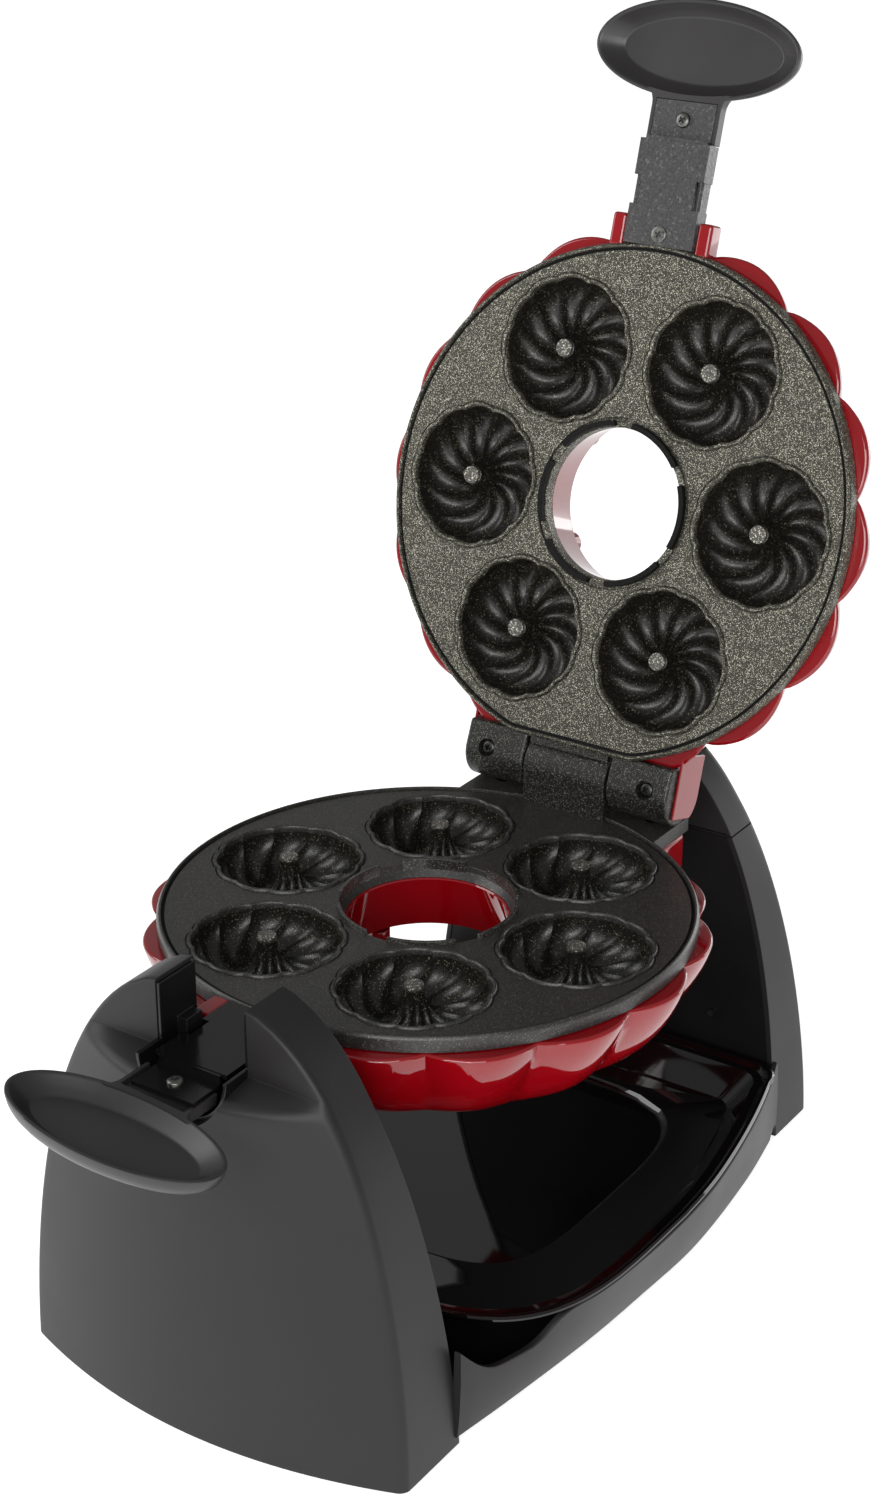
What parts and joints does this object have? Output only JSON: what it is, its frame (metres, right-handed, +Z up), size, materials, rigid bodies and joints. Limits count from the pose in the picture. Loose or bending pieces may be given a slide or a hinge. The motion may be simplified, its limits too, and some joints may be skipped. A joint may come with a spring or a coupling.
{
  "type": "donut maker",
  "caption": "Flip-over donut maker: hinged pair of round baking plates in fluted shells on a pivot between two pedestals, over a drip tray.",
  "frame": {"origin": "on the table, under the middle of the whole object's box", "axes": "+X to the right seen from the front grip, +Y to the rear (hinge side), +Z up"},
  "size_m": [0.244, 0.4455, 0.5133],
  "materials": {
    "stand_black": "satin, fine grain",
    "liner_black": "smooth satin",
    "tray_gloss": "mirror gloss",
    "shell_red": "high gloss",
    "lower_coating": "satin non-stick coating",
    "upper_coating": "speckled non-stick coating",
    "bracket_black": "hammered powder coat",
    "grip_black": "satin",
    "zinc_steel": "zinc plated",
    "element_steel": "dull",
    "bright_aluminium": "rolled",
    "bush_brass": "turned",
    "foot_rubber": "matt",
    "cream_ceramic": "glazed"
  },
  "bodies": {
    "stand": {"base_frame": "stand_black", "front_pedestal": "stand_black", "rear_pedestal": "stand_black", "rear_cap": "stand_black", "front_liner": "liner_black", "rear_liner": "liner_black", "neck_cradle": "liner_black", "rear_bush": "bush_brass", "bush_nut": "zinc_steel", "front_base_plate": "liner_black", "rear_base_plate": "liner_black", "rubber_feet": "foot_rubber", "base_screws": "zinc_steel", "liner_screws": "zinc_steel", "cord_gland": "foot_rubber", "terminal_block": "cream_ceramic"},
    "tray": {"drip_tray": "tray_gloss"},
    "lower_half": {"lower_shell": "shell_red", "lower_plate": "lower_coating", "lower_element": "element_steel", "lower_element_straps": "zinc_steel", "lower_heat_shield": "bright_aluminium", "lower_bracket": "bracket_black", "lower_grip": "grip_black", "lower_handle_screws": "zinc_steel", "lower_ear_screws": "zinc_steel", "lower_shell_screws": "zinc_steel", "thermostat": "cream_ceramic", "pivot_arm": "element_steel", "pivot_ring": "zinc_steel", "hinge_pin": "zinc_steel", "hinge_pin_clips": "zinc_steel"},
    "upper_half": {"upper_shell": "shell_red", "upper_plate": "upper_coating", "upper_element": "element_steel", "upper_element_straps": "zinc_steel", "upper_heat_shield": "bright_aluminium", "upper_bracket": "bracket_black", "upper_grip": "grip_black", "upper_handle_screws": "zinc_steel", "upper_ear_screws": "zinc_steel", "upper_shell_screws": "zinc_steel", "thermal_fuse": "cream_ceramic", "hinge_bushes": "bush_brass"}
  },
  "joints": [
    {"name": "flip", "type": "hinge", "parent": "stand", "child": "lower_half", "pos_m": [0, -0.0008, 0.167], "axis": [0, 1, 0], "range_deg": [-8, 8]},
    {"name": "lid_hinge", "type": "hinge", "parent": "lower_half", "child": "upper_half", "pos_m": [0, 0.12185, 0.18135], "axis": [1, 0, 0], "range_deg": [0, 107.35]},
    {"name": "tray_lift", "type": "slide", "parent": "stand", "child": "tray", "axis": [0, 0, 1], "range_m": [0, 0.03]}
  ]
}
